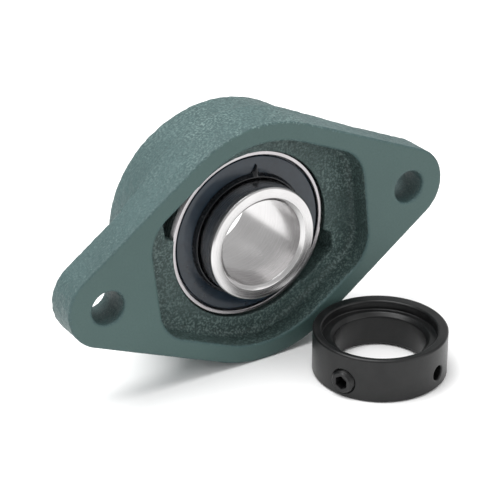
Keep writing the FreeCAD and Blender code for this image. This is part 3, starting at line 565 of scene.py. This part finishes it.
def make_housing():
    """The casting, its rough skin sunk a little below the CAD's surface."""
    side, end = 1.2, 1.3
    low = (-BOLT_REACH - END_R - side, -WAIST_R - side, -end)
    high = (BOLT_REACH + END_R + side, WAIST_R + side, DEPTH + end)
    points, faces = skin(housing_field, low, high, HOUSING_STEP)
    slope = gradient(housing_field, points)
    normals = slope / np.maximum(np.linalg.norm(slope, axis=1, keepdims=True), TINY)
    x, y, z = points.T
    spot = np.sqrt(((points - SPOT) ** 2).sum(1))
    # the rough skin fades out towards the machined surfaces
    cast = ramp(z, 0.15, 1.2) * ramp(np.abs(from_seat(x, y, z)), 0.3, 0.8)
    cast *= ramp(np.abs(from_bolt_holes(x, y)), 0.2, 0.8, 0.15) * ramp(spot, 6.0, 1.0)
    lumps = np.array(
        [noise.fractal(Vector(p) * LUMP_SCALE, LUMP_FALL, LUMP_STEP, LUMP_OCTAVES) for p in points]
    )
    waves = np.array([noise.noise(Vector(p) * WAVE_SCALE + WAVE_SHIFT) for p in points])
    sink = cast * (CAST_SINK + LUMP_DEPTH * lumps + WAVE_DEPTH * waves) + LEAST_SINK
    points = points - normals * np.clip(sink, 0.0, MOST_SINK)[:, None]
    made = new_object("housing_casting", points, faces, SHAFT)
    for material in (PAINT_CAST, PAINT_FACE, PAINT_RECESS_SHADED):
        made.data.materials.append(material)
    smooth_face = (z < 0.35) & (normals[:, 2] < -0.6)
    # The recess takes the darker paint, which carries painted shade.
    hollow = (recess_shape(x, y) < 0.5) & (z < CENTRE) & ~smooth_face
    kinds = smooth_face[faces].all(axis=1) + 2 * hollow[faces].all(axis=1)
    made.data.polygons.foreach_set("material_index", kinds.astype(np.int32))
    place(made, "housing", "housing")


make_housing()

# ---------------------------------------------------------------- bearing

RING_ORIGIN = (0, CENTRE, 0)


def shifted(angle, radius, way):
    """The distance from the axis to a circle set off from it, at an angle about the axis."""
    lean = angle - way
    return OFFSET * math.cos(lean) + math.sqrt(radius**2 - (OFFSET * math.sin(lean)) ** 2)


def arc(middle, radius, start, stop, steps):
    """Points of an arc about a middle on the outline's radius axis."""
    angles = [start + (stop - start) * k / steps for k in range(steps + 1)]
    return [(middle + radius * math.cos(t), radius * math.sin(t), 0) for t in angles]


def make_outer_ring():
    half, seat, land, level = RING_HALF, SEAL_SEAT_R, RING_LAND_R, SEAL_SEAT_LEVEL
    edge = math.asin(RING_RIM_LEVEL / RING_R)
    sphere = arc(0, RING_R, -edge, edge, SPHERE_STEPS)
    for k in (0, -1):
        sphere[k] = (*sphere[k][:2], 0.3)
    outside = [(RING_RIM_R, -half, 0.3), *sphere, (RING_RIM_R, half, 0.3)]
    middle = BALL_CIRCLE_R + BALL_R + RACE_PLAY - RACE_R
    reach = math.sqrt(RACE_R**2 - (land - middle) ** 2)
    turn = math.atan2(reach, land - middle)
    race = arc(middle, RACE_R, turn, -turn, RACE_STEPS)
    inside = [(seat + 0.2, half, 0.08), (seat, half - 0.2, 0.08), (seat, level, 0.1)]
    inside.append((land, level, 0.12))
    back = [(r, -z, e) for r, z, e in inside[::-1]]
    outline = rounded(outside + inside + race + back)
    made = turned_mesh(
        "outer_ring_ground", lambda angle: outline, RING_STEPS, SHAFT, RING_ORIGIN
    )
    made.data.materials.append(RIM_STEEL)
    place(made, "outer_ring", "outer_ring")


def make_inner_ring():
    r, rear, front, cam, bore = 19.8, 18.3, 14.3, 3.9, 15.0
    edge, bore_edge = 0.5, 1.2
    middle = BALL_CIRCLE_R - BALL_R - RACE_PLAY + RACE_R
    reach = math.sqrt(RACE_R**2 - (middle - r) ** 2)
    turn = math.atan2(reach, middle - r)
    race = arc(middle, -RACE_R, turn, -turn, RACE_STEPS)

    def outline(angle):
        high = shifted(angle, CAM_R, math.pi / 2)
        corners = [(bore + bore_edge, -rear, 0.25), (r - edge, -rear, 0.2)]
        corners.append((r, -rear + edge, 0.2))
        corners += race
        corners += [(r, front - edge, 0.15), (r - edge, front, 0.0)]
        corners += [(min(high, r - 0.02), front + 0.01, 0.0), (high, front + cam - edge, 0.15)]
        corners += [(high - edge, front + cam, 0.15), (bore + bore_edge, front + cam, 0.25)]
        corners += [(bore, front + cam - bore_edge, 0.3), (bore, -rear + bore_edge, 0.3)]
        return rounded(corners, FEW_ARC_STEPS)

    made = turned_mesh("inner_ring_ground", outline, RING_STEPS, SHAFT, RING_ORIGIN)
    made.data.materials.append(RING_STEEL)
    place(made, "inner_ring", "inner_ring")


def make_shield(side, sign):
    """A pressed sheet ring: its flat face, its rim and the foot crimped into the outer ring."""
    sheet, foot, rim = 0.6, 0.5, 27.1
    face, inner, seat, low = SEAL_FACE, SEAL_INNER_R, SEAL_SEAT_R, SEAL_SEAT_LEVEL
    corners = [
        (inner, face, 0.08),
        (rim, face, 0.3),
        (rim, low + foot, 0.1),
        (seat, low + foot, 0.1),
        (seat, low, 0.1),
        (rim - sheet, low, 0.1),
        (rim - sheet, face - sheet, 0.1),
        (inner, face - sheet, 0.08),
    ]
    outline = rounded([(r, sign * z, e) for r, z, e in corners])
    made = turned_mesh(
        "seal_sheet_" + side, lambda angle: outline, RING_STEPS, SHAFT, RING_ORIGIN
    )
    made.data.materials.append(SEAL_SHEET)
    place(made, "outer_ring", "seal_shield_" + side)


def make_lip(side, sign):
    """The rubber lip, with a small pointed nib at one place that reaches onto the shield."""
    inner, root, crest, face, within = 19.85, SEAL_INNER_R, 10.2, SEAL_FACE, 7.4
    nib, nib_at, nib_half, peak_half = math.radians(-90 + 13.5), 21.0, 2.0, 0.8
    nib_reach, peak_height = 3.2, 0.75

    def outline(angle):
        off = (angle - nib + math.pi) % (2 * math.pi) - math.pi
        share = max(0.0, 1 - abs(off) * nib_at / nib_half)
        peak = max(0.0, 1 - abs(off) * nib_at / peak_half)
        foot = root + 0.3 + nib_reach * share**1.5
        ridge = face + (crest - face) * (0.5 - 0.1 * share) + peak_height * peak
        corners = [
            (root, within, 0.0),
            (root, face, 0.0),
            (foot, face, 0.0),
            (foot - 0.25 * share, face + 0.05 + 0.1 * share + 0.6 * peak, 0.0),
            (0.5 * (foot + root - 0.5), ridge, 0.0),
            (root - 0.5, crest, 0.12),
            (inner + 0.4, crest, 0.12),
            (inner, crest - 1, 0.2),
            (inner, within, 0.0),
        ]
        return rounded([(r, sign * z, e) for r, z, e in corners], FEW_ARC_STEPS)

    made = turned_mesh("seal_lip_moulded_" + side, outline, LIP_STEPS, SHAFT, RING_ORIGIN)
    made.data.materials.append(SEAL_RUBBER)
    place(made, "outer_ring", "seal_lip_" + side)


make_outer_ring()
make_inner_ring()
for side, sign in (("rear", -1), ("front", 1)):
    make_shield(side, sign)
    make_lip(side, sign)

# ---------------------------------------------------------------- locking collar

COLLAR_TURN = np.array(
    [[math.cos(SPIN), -math.sin(SPIN), 0], [math.sin(SPIN), math.cos(SPIN), 0], [0, 0, 1]]
)
COLLAR_ORIGIN = (
    (collar_low[0] + collar_high[0]) / 2,
    (collar_low[1] + collar_high[1]) / 2,
    collar_low[2],
)


def bevel_of(a, b, size):
    """The common part of two solids with its edge chamfered."""
    return np.maximum(np.maximum(a, b), (a + b + size) / math.sqrt(2))


def collar_field(x, y, z):
    """The collar as one solid: negative inside, standing on the level z = 0."""
    radius = np.hypot(x, y)
    middle = COLLAR_H / 2
    solid = bevel_of(radius - COLLAR_R, np.abs(z - middle) - middle, COLLAR_BEVEL)
    cx, cy = OFFSET * math.cos(RECESS_TURN), OFFSET * math.sin(RECESS_TURN)
    wall = COLLAR_RECESS - np.hypot(x - cx, y - cy)
    upper = bevel_of(wall, z - COLLAR_H, COLLAR_BEVEL)
    ledge = z - (COLLAR_H - COLLAR_RECESS_DEPTH)
    lower = bevel_of(bevel_of(COLLAR_BORE - radius, ledge, LEDGE_BEVEL), -z, BORE_BEVEL)
    solid = both(solid, np.minimum(upper, lower), COLLAR_EDGE)
    sink = np.clip(radius - COLLAR_R + SCREW_SINK, 0, SCREW_SINK_MOST)
    screw = np.maximum(np.hypot(y, z - SCREW_LEVEL) - SCREW_HOLE_R - sink, -x)
    solid = without(solid, screw, SCREW_EDGE)
    sink = np.clip(radius - COLLAR_R + DRIFT_SINK, 0, DRIFT_SINK_MOST)
    drift = np.hypot(x, z - SCREW_LEVEL) - DRIFT_R - sink
    return without(solid, np.maximum(drift, COLLAR_R - DRIFT_DEPTH - y), DRIFT_EDGE)


def make_collar():
    reach, end = COLLAR_R + 0.8, 0.8
    low, high = (-reach, -reach, -end), (reach, reach, COLLAR_H + end)
    points, faces = skin(collar_field, low, high, COLLAR_STEP)
    made = new_object("locking_collar_turned", points, faces, COLLAR_TURN, COLLAR_ORIGIN)
    made.data.materials.append(BLACK_OXIDE)
    place(made, "locking_collar", "locking_collar")


def hexagon(angle, across_flats):
    """The distance from the axis to a hexagon's side, at an angle about the axis."""
    sixth = math.pi / 3
    return across_flats / 2 / math.cos((angle + sixth / 2) % sixth - sixth / 2)


def make_set_screw():
    """The set screw with a cut thread, a cup point and a hexagon socket."""
    length, pitch, key, depth = 8.0, 1.0, 4.0, 4.0
    proud, thread, chamfer, lead, cone, axle, weld = 1.1, 0.54, 0.7, 0.18, 0.3, 0.001, 0.004
    axes = COLLAR_TURN @ np.array([[0, 0, 1], [1, 0, 0], [0, 1, 0]])
    levels = np.linspace(0.0, length, THREAD_STEPS + 1)

    def outline(angle):
        socket = hexagon(angle, key)
        rows = [(axle, 1.0), (2.0, 0.0)]
        for level in levels:
            phase = (level / pitch - angle / (2 * math.pi)) % 1
            tooth = SCREW_R - thread * (1 - abs(2 * phase - 1))
            taper = SCREW_R - max(0.0, chamfer - level) - max(0.0, chamfer - (length - level))
            rows.append((min(tooth, taper), level))
        floor = length - depth
        rows += [(2.6, length), (socket + lead, length), (socket, length - lead)]
        rows += [(socket, floor), (1.2, floor - cone), (axle, floor - 2 * cone)]
        return np.array(rows)

    made = turned_mesh(
        "set_screw_threaded", outline, SCREW_STEPS, axes, (0, 0, 0), closed=False
    )
    welded = bmesh.new()
    welded.from_mesh(made.data)
    bmesh.ops.remove_doubles(welded, verts=welded.verts, dist=weld * MM)
    welded.to_mesh(made.data)
    welded.free()
    shift = COLLAR_TURN @ np.array([COLLAR_R + proud - length, 0, SCREW_LEVEL])
    made.data.transform(Matrix.Translation(Vector((shift + np.array(COLLAR_ORIGIN)) * MM)))
    made.data.materials.append(SCREW_BLACK)
    made.data.set_sharp_from_angle(angle=math.radians(32))
    place(made, "set_screw", "set_screw")


make_collar()
make_set_screw()

# ---------------------------------------------------------------- carried-over CAD nodes

for number in range(1, 10):
    coat("ball_%d" % number, BALL_STEEL)
for node in ("cage_front", "cage_rear", "cage_rivets"):
    coat(node, CAGE_STEEL)
for node in ("grease_fitting_body", "grease_fitting_spring"):
    coat(node, ZINC)
coat("grease_fitting_ball", BALL_STEEL)

# ---------------------------------------------------------------- floor, light and camera


def make_floor():
    mesh = bpy.data.meshes.new("floor")
    side, gap = 6.0, 0.0001
    level = FLOOR * MM - gap
    mesh.from_pydata(
        [(-side, -side, level), (side, -side, level), (side, side, level), (-side, side, level)],
        [],
        [(0, 1, 2, 3)],
    )
    made = bpy.data.objects.new("floor", mesh)
    bpy.context.scene.collection.objects.link(made)
    pale = Nodes("floor_pale")
    pale.to("Base Color", pale.mix(pale.noise(3, 2), (0.93, 0.93, 0.93), (0.95, 0.95, 0.95)))
    pale.set(Roughness=0.9, Specular_IOR_Level=FLOOR_GLOSS)
    mesh.materials.append(pale.material)


def area_light(name, where, size, power):
    """A square light that looks at the middle of the object."""
    lamp = bpy.data.lights.new(name, "AREA")
    lamp.energy = power
    lamp.size = size
    made = bpy.data.objects.new(name, lamp)
    bpy.context.scene.collection.objects.link(made)
    made.location = where
    made.rotation_euler = (-Vector(where)).to_track_quat("-Z", "Y").to_euler()


def make_world():
    world = bpy.data.worlds.new("studio")
    bpy.context.scene.world = world
    world.use_nodes = True
    back = next(n for n in world.node_tree.nodes if n.type == "BACKGROUND")
    back.inputs["Color"].default_value = (1, 1, 1, 1)
    back.inputs["Strength"].default_value = 0.6


def make_camera():
    """The photograph's camera, fitted to the housing's outline, its holes and the collar."""
    azimuth, elevation, tilt = math.radians(-32.01), math.radians(26.82), math.radians(-0.29)
    distance, shift_x, shift_y = 580.4, -4.90, -1.52
    focal_px, image_px, sensor = 1783.1, 500, 36.0
    back = Vector(
        (
            math.sin(azimuth) * math.cos(elevation),
            -math.cos(azimuth) * math.cos(elevation),
            math.sin(elevation),
        )
    )
    right = Vector((math.cos(azimuth), math.sin(azimuth), 0))
    up = back.cross(right)
    c, s = math.cos(tilt), math.sin(tilt)
    right, up = c * right + s * up, -s * right + c * up
    where = (back * distance + right * shift_x + up * shift_y) * MM
    data = bpy.data.cameras.new("camera")
    data.sensor_width = sensor
    data.lens = focal_px * sensor / image_px
    data.clip_start = 0.01
    made = bpy.data.objects.new("camera", data)
    bpy.context.scene.collection.objects.link(made)
    turn = Matrix((right, up, back)).transposed().to_4x4()
    made.matrix_world = Matrix.Translation(where) @ turn
    bpy.context.scene.camera = made


make_floor()
make_world()
area_light("overhead", (-0.25, 0.15, 0.95), 0.9, 15.0)
area_light("front", (0.55, -1.0, 0.5), 0.9, 4.0)
make_camera()
bpy.context.scene.view_settings.view_transform = "Standard"
